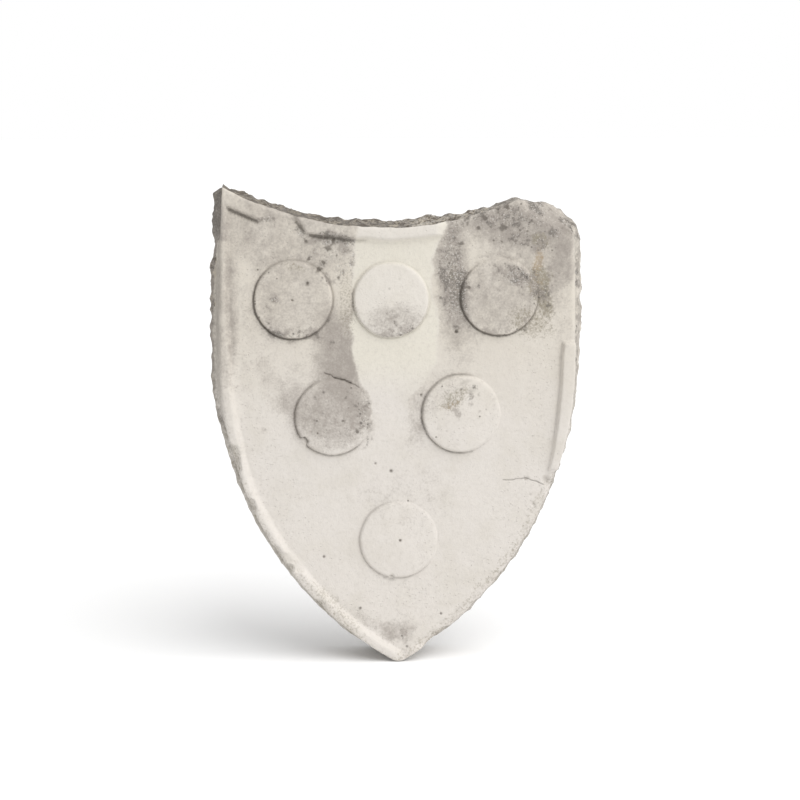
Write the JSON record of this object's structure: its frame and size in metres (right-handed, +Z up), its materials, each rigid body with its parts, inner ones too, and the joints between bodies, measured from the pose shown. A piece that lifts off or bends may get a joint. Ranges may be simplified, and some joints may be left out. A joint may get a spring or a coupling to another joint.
{
  "type": "carved stone armorial shield",
  "caption": "Weathered heater-shaped armorial shield carved from a block of pale stone, with a raised border, low roundels and rough-hewn sides for building into a wall.",
  "frame": {"origin": "on the flat bed at the back, behind the middle of the face, where the block meets the wall it is let into", "axes": "+Y is the bed's outward normal, into the wall, so the carved face looks along -Y; +Z is up, from the point to the corners; +X is to the right of someone facing the carving"},
  "size_m": [0.4368, 0.0775, 0.5578],
  "materials": {
    "pale_stone": "weathered white marble gone cream and grey, fine-grained and dull, with lichen and rain stains; rougher and darker where it is hewn"
  },
  "bodies": {
    "root": {"stone_shield": "pale_stone"}
  },
  "joints": []
}
